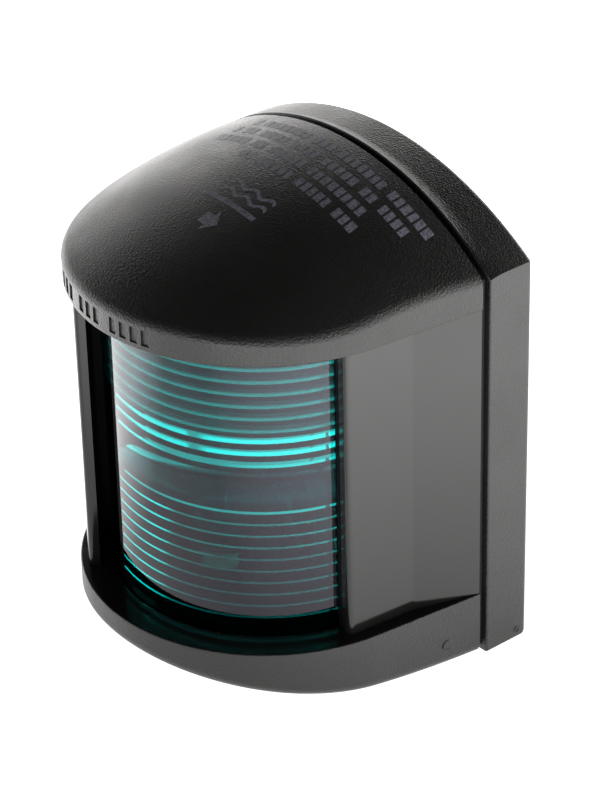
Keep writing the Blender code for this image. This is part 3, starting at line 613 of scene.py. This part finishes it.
def base():
    back_round, front_round = 1.2, 0.3
    rings = []
    for step in range(9):
        turn = math.radians(90.0 * step / 8)
        inset = back_round * (1.0 - math.sin(turn))
        outline = base_outline(inset, corner=0.5)
        rings.append([(x, back_round * (1.0 - math.cos(turn)), h) for x, h in outline])
    flare_start = BASE_DEPTH - BASE_FLARE
    rings.append([(x, flare_start, h) for x, h in base_outline(0.0, corner=0.5)])
    crown_shoulder = CROWN - ARCH_RADIUS + math.sqrt(ARCH_RADIUS ** 2 - BASE_HALF ** 2)

    def between(share, inset):
        """The outline a share of the way from the base's own arch to the cover's."""
        rear = base_outline(inset, corner=0.5)
        fore = base_outline(inset, crown_shoulder, ARCH_RADIUS, corner=0.5)
        return [(a[0] + (b[0] - a[0]) * share, a[1] + (b[1] - a[1]) * share) for a, b in zip(rear, fore)]

    for step in range(1, 9):
        share = step / 8
        forward = flare_start + (BASE_FLARE - front_round) * share
        rise = (share * (BASE_FLARE - front_round) / BASE_FLARE) ** 1.8
        rings.append([(x, forward, h) for x, h in between(rise, 0.0)])
    for step in range(1, 5):
        turn = math.radians(90.0 * step / 4)
        inset = front_round * (1.0 - math.cos(turn))
        forward = BASE_DEPTH - front_round * (1.0 - math.sin(turn))
        rings.append([(x, forward, h) for x, h in between(1.0, inset)])
    plate = solid("base_shell", loft(rings))

    groove = face_prism("groove", base_outline(1.1), BASE_DEPTH - 1.2, BASE_DEPTH + 2.0)
    booleans(groove, [("DIFFERENCE", face_prism("land", base_outline(2.3), 0.0, 2.0 * BASE_DEPTH))])
    tools = [("UNION", face_prism("spigot", base_outline(SPIGOT_INSET), BASE_FLOOR, SPIGOT_FRONT)),
             ("DIFFERENCE", face_prism("hollow", base_outline(BASE_WALL), BASE_FLOOR, SPIGOT_FRONT + 2.0)),
             ("DIFFERENCE", groove)]
    for x in (-MOUNT_HOLE_X, MOUNT_HOLE_X):
        centre = (x, 0.0, ORIGIN_HEIGHT)
        seat = [(0.0, 1.0), (5.4, 1.0), (5.4, 2.6), (5.2, 4.9), (4.9, 5.2), (0.0, 5.2)]
        tools.append(("UNION", turned("seat", seat, centre, "forward")))
        tools.append(("DIFFERENCE", bore("hole", 2.2, -1.0, 8.0, centre, "forward")))
    post_front = cad_box("lamp_holder")[2] - 0.3
    for x in (-POST_X, POST_X):
        centre = (x, 0.0, LAMP_MIDDLE)
        post = [(0.0, 1.0), (3.6, 1.0), (3.3, post_front - 0.4), (2.9, post_front), (0.0, post_front)]
        tools.append(("UNION", turned("post", post, centre, "forward", 48)))
        rib = box("rib", (x - 0.6, 1.0, LAMP_MIDDLE - 9.0), (x + 0.6, 7.0, LAMP_MIDDLE + 9.0))
        tools.append(("UNION", rib))
        tools.append(("DIFFERENCE", bore("pilot", 1.7, 8.0, post_front + 2.0, centre, "forward", 32)))
    grommet = cad_box("cable_grommet")
    entry_centre = ((grommet[0] + grommet[1]) / 2.0, 0.0, (grommet[4] + grommet[5]) / 2.0)
    tools.append(("DIFFERENCE", bore("entry", 5.0, -1.0, 4.0, entry_centre, "forward")))
    tools.append(("UNION", box("lug", (-6.0, 1.6, 4.5), (6.0, 20.0, 7.4))))
    tools.append(("DIFFERENCE", box("fork", (-2.3, 13.7, 2.5), (2.3, 22.0, 9.4))))
    booleans(plate, tools)
    dress(plate, GRAINED, "base", "black_moulding", "base_plate")


# ---------------------------------------------------------------- lens

def prism_rows(wall, eye, pitch, prisms):
    """Inner points of one half, (radius, distance from the lens's middle), from the middle outwards.

    Each ring is thick on its inner side; a prism is its (slope in degrees, run of its shoulder).
    """
    points = []
    for i, (slope, run) in enumerate(prisms):
        foot = eye + i * pitch
        depth = min((pitch - run) * math.tan(math.radians(slope)), 1.5)
        points += [(wall - depth, foot + run), (wall, foot + pitch)]
    return points


def lens_profile():
    """Half-section of the lens, (radius, height): smooth outside, prism rings inside."""
    middle = (LENS_LOW + LENS_HIGH) / 2.0
    wall = LENS_RADIUS - LENS_WALL
    eye, pitch = 3.4, 2.1
    count = int((LENS_HIGH - middle - eye) / pitch)
    end = LENS_HIGH - middle
    bulge = [(wall - 0.75 + 0.55 * (i / 8.0) ** 2, eye * i / 8.0) for i in range(9)]
    upper = prism_rows(wall, eye, pitch, [(30.0, 0.72)] * 3 + [(25.0, 0.5)] * (count - 3))
    lower = prism_rows(wall, eye, pitch, [(27.0, 0.68)] * count)
    profile = [(LENS_RADIUS, LENS_LOW), (LENS_RADIUS, LENS_HIGH), (wall - 0.3, LENS_HIGH)]
    profile += [(radius, middle + rise) for radius, rise in reversed(bulge + upper)]
    profile += [(radius, middle - rise) for radius, rise in bulge[1:] + lower]
    profile.append((wall - 0.3, middle - end))
    return profile


def lens():
    low, high = SLOT_END - 1.2, WINDOW_FORE
    steps = 160
    profile = lens_profile()
    rings = []
    for i in range(steps + 1):
        azimuth = low + (high - low) * i / steps
        rings.append([(*around_lens(radius, azimuth), height) for radius, height in profile])
    made = solid("lens_body", loft(rings))
    dress(made, LENS, "cover", "green_lens", "fresnel_lens", sharp=12.0)
    made.data.materials.append(LENS_MATT)
    matt_from = BOTTOM + ((LENS_LOW + LENS_HIGH) / 2.0 + MATT_RISE) * MM
    axis = Vector((0.0, -AXIS * MM, 0.0))
    for face in made.data.polygons:
        out = face.center - axis
        if face.center.z > matt_from and math.hypot(out.x, out.y) < (LENS_RADIUS - 0.5) * MM:
            face.material_index = 1


# ---------------------------------------------------------------- lamp and its holder

def tube(name, path, radius, sides=10):
    """A round wire of (x, forward, height) points."""
    rings = []
    previous = None
    points = [Vector(p) for p in path]
    for i, here in enumerate(points):
        along = (points[min(i + 1, len(points) - 1)] - points[max(i - 1, 0)]).normalized()
        side = previous - along * previous.dot(along) if previous else along.orthogonal()
        side.normalize()
        previous = side
        up = along.cross(side)
        rings.append([here + radius * (side * math.cos(t) + up * math.sin(t))
                      for t in (2.0 * math.pi * k / sides for k in range(sides))])
    return solid(name, loft(rings))


def lamp():
    half = 14.0
    centre = (0.0, LAMP_FORWARD, LAMP_MIDDLE)
    shoulder = [(5.5, 9.6)]
    for degrees in range(15, 91, 15):
        turn = math.radians(degrees)
        shoulder.append((4.5 + math.cos(turn), 9.6 + 1.3 * math.sin(turn)))
    upper = shoulder + [(3.6, 11.5), (3.3, 12.1), (3.3, 13.6), (2.9, half)]
    outside = [(r, -h) for r, h in reversed(upper)] + upper
    inside = [(r - 0.6, h) for r, h in reversed(outside)]
    glass = turned("lamp_tube", outside + inside, centre, steps=72)
    dress(glass, LAMP_GLASS, "lamp", "clear_glass", "lamp_glass", sharp=40.0)
    for end, sign in (("upper", 1.0), ("lower", -1.0)):
        tip = 20.5
        skirt = [(0.0, 14.4), (3.7, 14.4), (3.7, 12.6), (4.05, 12.55), (4.25, 12.75), (4.2, 13.2)]
        barrel = [(4.1, 13.4), (4.2, 13.6), (4.2, 16.8), (4.1, 17.3), (3.8, 17.7)]
        nose = [(2.0, 19.4), (1.75, 19.75), (1.6, 19.8), (1.5, 20.2)]
        nose += [(1.2, tip - 0.08), (0.7, tip), (0.0, tip)]
        profile = skirt + barrel + nose
        profile = [(r, sign * h) for r, h in profile]
        cap = turned("lamp_cap_shell_" + end, profile, centre, steps=64)
        dress(cap, NICKEL, "lamp", "nickel_plate", "lamp_cap_" + end, sharp=40.0)
    turns, length, radius = 26, 11.0, 0.5
    coil = []
    for i in range(turns * 12 + 1):
        turn = 2.0 * math.pi * i / 12
        height = LAMP_MIDDLE - length / 2.0 + length * i / (turns * 12)
        sag = 0.25 * math.cos(math.pi * (height - LAMP_MIDDLE) / length)
        coil.append((radius * math.cos(turn), LAMP_FORWARD + radius * math.sin(turn) + sag, height))
    low_lead = [(0.0, LAMP_FORWARD, LAMP_MIDDLE - 13.9 + 0.9 * i) for i in range(9)]
    high_lead = [(0.0, LAMP_FORWARD, LAMP_MIDDLE + 6.7 + 0.9 * i) for i in range(9)]
    wire = tube("lamp_coil", low_lead + coil + high_lead, 0.13, 8)
    dress(wire, TUNGSTEN, "lamp", "tungsten", "lamp_filament", sharp=60.0)


def contact_strip(end, sign):
    near = cad_box("contact_" + end)[2]
    reach = cad_box("contact_" + end)[3]
    thick, half = 0.5, 3.5
    foot, arm = 8.0, 19.5
    bend = 1.2
    side = [(near, foot, 0.0), (near, arm + thick, bend + thick), (reach, arm + thick, 0.0),
            (reach, arm, 0.0), (near + thick, arm, bend), (near + thick, foot, 0.0)]
    outline = rounded(side, 6, 0.01)
    rings = [[(x, f, LAMP_MIDDLE + sign * h) for f, h in outline] for x in (-half, half)]
    strip = solid("contact_strip_" + end, loft(rings))
    inner = LAMP_MIDDLE + sign * arm
    mouth = [(2.7, reach + 1.0), (-2.7, reach + 1.0)] + arc((0.0, LAMP_FORWARD), 2.3, -180.0, 0.0, 24)
    tools = [("DIFFERENCE", plan_prism("mouth", mouth, inner - 2.0, inner + 2.0))]
    for level, radius in TERMINAL_HOLES:
        centre = (0.0, 0.0, LAMP_MIDDLE + sign * level)
        tools.append(("DIFFERENCE", bore("hole", radius, near - 1.0, near + 2.0, centre, "forward", 32)))
    booleans(strip, tools)
    dress(strip, STRIP, "base", "spring_brass", "contact_" + end)


def holder_board():
    x0, x1, back, front, low, high = cad_box("lamp_holder")
    corner, edge = 2.5, 0.35
    across, along = (x1 - x0) / 2.0, (high - low) / 2.0
    middle = (low + high) / 2.0

    def outline(inset):
        points = []
        for turn, (sx, sz) in enumerate(((1, 1), (-1, 1), (-1, -1), (1, -1))):
            centre = (sx * (across - corner), middle + sz * (along - corner))
            points += arc(centre, corner - inset, 90.0 * turn, 90.0 * turn + 90.0, 10)
        return points

    rings = []
    for forward, inset in ((back, 0.0), (front - edge, 0.0), (front - 0.3 * edge, 0.3 * edge), (front, edge)):
        rings.append([(x, forward, h) for x, h in outline(inset)])
    board = solid("holder_board", loft(rings))
    tools = []
    for sign in (-1.0, 1.0):
        level = middle + sign * 6.2
        fence = box("fence", (-5.2, front - 0.5, level - 0.6), (5.2, front + 1.6, level + 0.6))
        tools.append(("UNION", fence))
        for x in (-4.7, 4.7):
            rail = box("rail", (x - 0.45, front - 0.5, middle + sign * 13.0 - 5.5),
                       (x + 0.45, front + 1.1, middle + sign * 13.0 + 5.5))
            tools.append(("UNION", rail))
        holes = [(sign * POST_X, middle, 1.8)]
        holes += [(0.0, middle + sign * level, radius) for level, radius in TERMINAL_HOLES]
        for x, height, radius in holes:
            hole = bore("hole", radius, back - 1.0, front + 1.0, (x, 0.0, height), "forward", 32)
            tools.append(("DIFFERENCE", hole))
    booleans(board, tools)
    dress(board, NYLON, "base", "white_nylon", "lamp_holder")


def screw(name, node, body, centre, seat, head, shank, direction="forward"):
    """A pan-head screw: domed head with a cross slot and a real helical thread.

    Distances along it run from the shank's end to the seat and on to the head's crown.
    head is its (radius, height) and shank its (radius, end, pitch).
    """
    head_radius, head_height = head
    shank_radius, end, pitch = shank
    sides = 40
    length = seat - end
    steps = int(length / (pitch / 6.0))
    rings = []
    for share, along in ((0.25, end), (0.6, end + 0.15)):
        rings.append([(share * shank_radius, along)] * sides)
    for i in range(steps + 1):
        along = end + 0.3 + (length - 0.3) * i / steps
        ring = []
        for k in range(sides):
            phase = (along / pitch - k / sides) % 1.0
            ridge = 1.0 - abs(2.0 * phase - 1.0)
            fade = min(1.0, (along - end) / (1.5 * pitch), (seat - along) / pitch)
            ring.append((shank_radius - 0.32 * pitch * (1.0 - ridge) * max(fade, 0.0) - 0.02, along))
        rings.append(ring)
    dome = ((1.0, 0.0), (1.0, 0.35), (0.96, 0.6), (0.86, 0.82), (0.68, 0.94), (0.4, 0.99), (0.12, 1.0))
    for share, rise in dome:
        rings.append([(share * head_radius, seat + rise * head_height)] * sides)
    points = []
    for ring in rings:
        loop = []
        for k, (radius, along) in enumerate(ring):
            turn = 2.0 * math.pi * k / sides
            side, rise = radius * math.cos(turn), radius * math.sin(turn)
            offset = (side, along, rise) if direction == "forward" else (side, rise, -along)
            loop.append([c + o for c, o in zip(centre, offset)])
        points.append(loop)
    made = solid(name, loft(points))
    depth = 0.5 * head_height
    tools = []
    long_arm, half = 0.62 * head_radius, 0.16 * head_radius
    for wide, tall in ((long_arm, half), (half, long_arm)):
        if direction == "forward":
            low = (centre[0] - wide, seat + head_height - depth, centre[2] - tall)
            high = (centre[0] + wide, seat + head_height + 1.0, centre[2] + tall)
        else:
            low = (centre[0] - wide, centre[1] - tall, centre[2] - seat - head_height - 1.0)
            high = (centre[0] + wide, centre[1] + tall, centre[2] - seat - head_height + depth)
        tools.append(("DIFFERENCE", box("slot", low, high)))
    booleans(made, tools)
    dress(made, STEEL, body, "stainless", node, sharp=35.0)


def screws():
    for side in ("aft", "fore"):
        node = "holder_screw_" + side
        x0, x1, back, front, low, high = cad_box(node)
        centre = ((x0 + x1) / 2.0, 0.0, (low + high) / 2.0)
        screw("holder_screw_body_" + side, node, "base", centre, front - 1.8, (2.7, 1.8), (1.4, back, 0.9))
    for end in ("upper", "lower"):
        node = "terminal_screw_" + end
        back, front, low, high = cad_box(node)[2:]
        screw("terminal_screw_body_" + end, node, end + "_terminal", (0.0, 0.0, (low + high) / 2.0),
              front - 1.7, (2.6, 1.7), (1.45, back, 0.5))
    back, front, low, high = cad_box("cover_screw")[2:]
    screw("cover_screw_body", "cover_screw", "cover_screw_shank", (0.0, (back + front) / 2.0, 0.0),
          -low - 1.3, (3.7, 1.3), (1.95, -high, 0.7), "down")


def grommet():
    x0, x1, back, front, low, high = cad_box("cable_grommet")
    centre = ((x0 + x1) / 2.0, 0.0, (low + high) / 2.0)
    collar = (x1 - x0) / 2.0
    profile = [(3.3, back), (4.4, back), (4.7, back + 0.3), (4.7, back + 2.5), (4.8, back + 2.6)]
    profile += [(collar - 0.3, back + 2.6), (collar, back + 2.9)]
    profile += [(collar, back + 3.8), (collar - 0.3, back + 4.2)]
    for i in range(3):
        foot = back + 4.3 + 0.9 * i
        profile += [(4.9 - 0.2 * i, foot), (4.7 - 0.2 * i, foot + 0.5), (4.3 - 0.2 * i, foot + 0.6)]
    profile += [(3.9, front - 0.1), (3.6, front), (3.3, front - 0.2)]
    made = turned("cable_bush", profile, centre, "forward", 72)
    dress(made, RUBBER, "base", "rubber", "cable_grommet", sharp=40.0)


# ---------------------------------------------------------------- marks on the cap

def lay_on_dome(name, polygons, proud=0.02):
    """Thin ink shapes that follow the dome; each polygon is a convex outline of (x, forward)."""
    builder = bmesh.new()
    for outline in polygons:
        rings = []
        for offset in (-0.05, proud):
            rings.append([(x, f, roof(x, f) + offset) for x, f in outline])
        loft(rings, builder)
    return solid(name, builder)


def strip_cells(x0, x1, f0, f1, pieces):
    """A bar split along x so that it bends with the dome."""
    cells = []
    for i in range(pieces):
        a = x0 + (x1 - x0) * i / pieces
        b = x0 + (x1 - x0) * (i + 1) / pieces
        cells.append([(a, f0), (b, f0), (b, f1), (a, f1)])
    return cells


def cap_print():
    """Rows of plain blocks in the place of the printed approvals, an arrow and a plain mark."""
    draw = random.Random(7)
    shapes = []
    lines = ((13.2, -15.5, 24.2), (16.3, -16.5, 22.3), (19.4, -18.0, 16.4), (22.5, -8.0, 18.0))
    for forward, start, stop in lines:
        x = stop
        word = draw.choice((3, 4, 6, 8))
        while x > start:
            wide = draw.uniform(0.95, 1.3)
            shapes.append([(x - wide, forward - 0.95), (x, forward - 0.95),
                           (x + 0.22, forward + 0.95), (x - wide + 0.22, forward + 0.95)])
            x -= wide + 0.42
            word -= 1
            if word == 0:
                x -= 1.1
                word = draw.choice((2, 3, 4, 5, 7))
    arrow_mid = 36.6
    shaft, head = [(0.5, 1.1), (2.1, 1.1)], [(2.1, 2.3), (2.7, 1.55), (3.3, 0.8), (3.9, 0.05)]
    for (a, near), (b, far) in list(zip(shaft, shaft[1:])) + list(zip(head, head[1:])):
        for side in (-1, 1):
            corners = [(a, arrow_mid), (b, arrow_mid)]
            corners += [(b, arrow_mid + far * side), (a, arrow_mid + near * side)]
            shapes.append(corners[::side])
    shapes += strip_cells(-3.8, 7.4, 32.0, 32.9, 8)
    for row in (28.2, 30.0):
        for i in range(28):
            a, b = -3.8 + 0.4 * i, -3.8 + 0.4 * (i + 1)
            fa, fb = row + 0.45 * math.sin(1.7 * a), row + 0.45 * math.sin(1.7 * b)
            shapes.append([(a, fa), (b, fb), (b, fb + 0.7), (a, fa + 0.7)])
    made = lay_on_dome("cap_print", shapes)
    dress(made, INK, "cover", "black_moulding")


def gate_ring(name, centre, radius, wire, body):
    """The small raised ring that a mould's gate leaves on a side face."""
    builder = bmesh.new()
    rings = 36
    sides = 10
    loops = []
    for i in range(rings):
        turn = 2.0 * math.pi * i / rings
        loop = []
        for k in range(sides):
            angle = 2.0 * math.pi * k / sides
            reach = radius + wire * math.cos(angle)
            offset = (wire * math.sin(angle), reach * math.cos(turn), reach * math.sin(turn))
            loop.append(builder.verts.new([c + o for c, o in zip(centre, offset)]))
        loops.append(loop)
    for a, b in zip(loops, loops[1:] + loops[:1]):
        for k in range(sides):
            m = (k + 1) % sides
            builder.faces.new((a[k], a[m], b[m], b[k]))
    dress(solid(name, builder), GRAINED, body, "black_moulding", sharp=60.0)


# ---------------------------------------------------------------- CAD nodes that stay

def finish_cad_nodes():
    """A finish for the nodes whose CAD shape is kept, in their own material slots."""
    kept = {RUBBER: ("cover_seal", "lens_seal_lower", "lens_seal_upper", "cover_screw_washer"),
            BRASS: ("cover_screw_nut", "contact_rivet_upper", "contact_rivet_lower",
                    "terminal_nut_upper", "terminal_nut_lower"),
            NICKEL: ("clamp_washer_upper", "clamp_washer_lower")}
    for shader, nodes in kept.items():
        for node in nodes:
            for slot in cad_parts[node].material_slots:
                slot.material = shader


# ---------------------------------------------------------------- stage, light and camera

def stage():
    """A plain pale floor that glows more to both sides of the part."""
    mesh = bpy.data.meshes.new("floor")
    builder = bmesh.new()
    reach = 3.0
    for x, y in ((-reach, -reach), (reach, -reach), (reach, reach), (-reach, reach)):
        builder.verts.new((x, y, BOTTOM - 0.0002))
    builder.faces.new(builder.verts)
    builder.to_mesh(mesh)
    builder.free()
    floor = bpy.data.objects.new("floor", mesh)
    bpy.context.scene.collection.objects.link(floor)
    pale = new_material("pale_floor", (0.8, 0.8, 0.8), 0.9, Emission_Strength=1.0)
    nodes, links = pale.node_tree.nodes, pale.node_tree.links
    coordinates = nodes.new("ShaderNodeTexCoord")
    split = nodes.new("ShaderNodeSeparateXYZ")
    links.new(coordinates.outputs["Object"], split.inputs["Vector"])
    aft = ramp(pale, split.outputs["X"], -0.07, -0.03, 3.2, 1.1)
    fore = ramp(pale, split.outputs["X"], 0.03, 0.12, 1.1, 3.6)
    glow = nodes.new("ShaderNodeMath")
    glow.operation = "MAXIMUM"
    links.new(aft, glow.inputs[0])
    links.new(fore, glow.inputs[1])
    links.new(glow.outputs["Value"], nodes["Principled BSDF"].inputs["Emission Strength"])
    nodes["Principled BSDF"].inputs["Emission Color"].default_value = (1.0, 0.99, 0.985, 1.0)
    mesh.materials.append(pale)


def light():
    """A soft studio: bright from the horizon and from behind, dark overhead."""
    world = bpy.data.worlds.new("studio")
    bpy.context.scene.world = world
    world.use_nodes = True
    nodes, links = world.node_tree.nodes, world.node_tree.links
    coordinates = nodes.new("ShaderNodeTexCoord")
    split = nodes.new("ShaderNodeSeparateXYZ")
    links.new(coordinates.outputs["Generated"], split.inputs["Vector"])
    both = nodes.new("ShaderNodeMath")
    both.operation = "MULTIPLY"
    links.new(ramp(world, split.outputs["Z"], 0.1, 0.56, 1.0, 0.02, "SMOOTHSTEP"), both.inputs[0])
    links.new(ramp(world, split.outputs["Y"], -0.4, 0.6, 1.05, 3.2), both.inputs[1])
    background = nodes["Background"]
    background.inputs["Color"].default_value = (1.0, 0.985, 0.97, 1.0)
    links.new(both.outputs["Value"], background.inputs["Strength"])


CAMERA_PLACE = (0.33796, -0.28857, 0.26317)   # metres
CAMERA_ANGLES = (51.4, 31.6, 1.41)            # azimuth, elevation and roll in degrees
CAMERA_LENS = 146.6


def camera():
    azimuth, elevation, roll = (math.radians(angle) for angle in CAMERA_ANGLES)
    back = Vector((math.sin(azimuth) * math.cos(elevation), -math.cos(azimuth) * math.cos(elevation),
                   math.sin(elevation)))
    level = Vector((math.cos(azimuth), math.sin(azimuth), 0.0))
    upright = back.cross(level)
    right = math.cos(roll) * level - math.sin(roll) * upright
    up = math.sin(roll) * level + math.cos(roll) * upright
    made = bpy.data.cameras.new("camera")
    made.sensor_fit = "VERTICAL"
    made.sensor_height = 36.0
    made.lens = CAMERA_LENS
    eye = bpy.data.objects.new("camera", made)
    rotation = Matrix((right, up, back)).transposed().to_4x4()
    eye.matrix_world = Matrix.Translation(Vector(CAMERA_PLACE)) @ rotation
    bpy.context.scene.collection.objects.link(eye)
    bpy.context.scene.camera = eye


cover()
base()
lens()
lamp()
holder_board()
for end_name, end_sign in (("upper", 1.0), ("lower", -1.0)):
    contact_strip(end_name, end_sign)
screws()
grommet()
cap_print()
gate_ring("cover_gate_mark", (31.5, 15.8, 4.4), 0.9, 0.12, "cover")
gate_ring("base_gate_mark", (32.5, 2.3, 1.6), 0.45, 0.1, "base")
finish_cad_nodes()
stage()
light()
camera()
bpy.context.scene.view_settings.view_transform = "Standard"
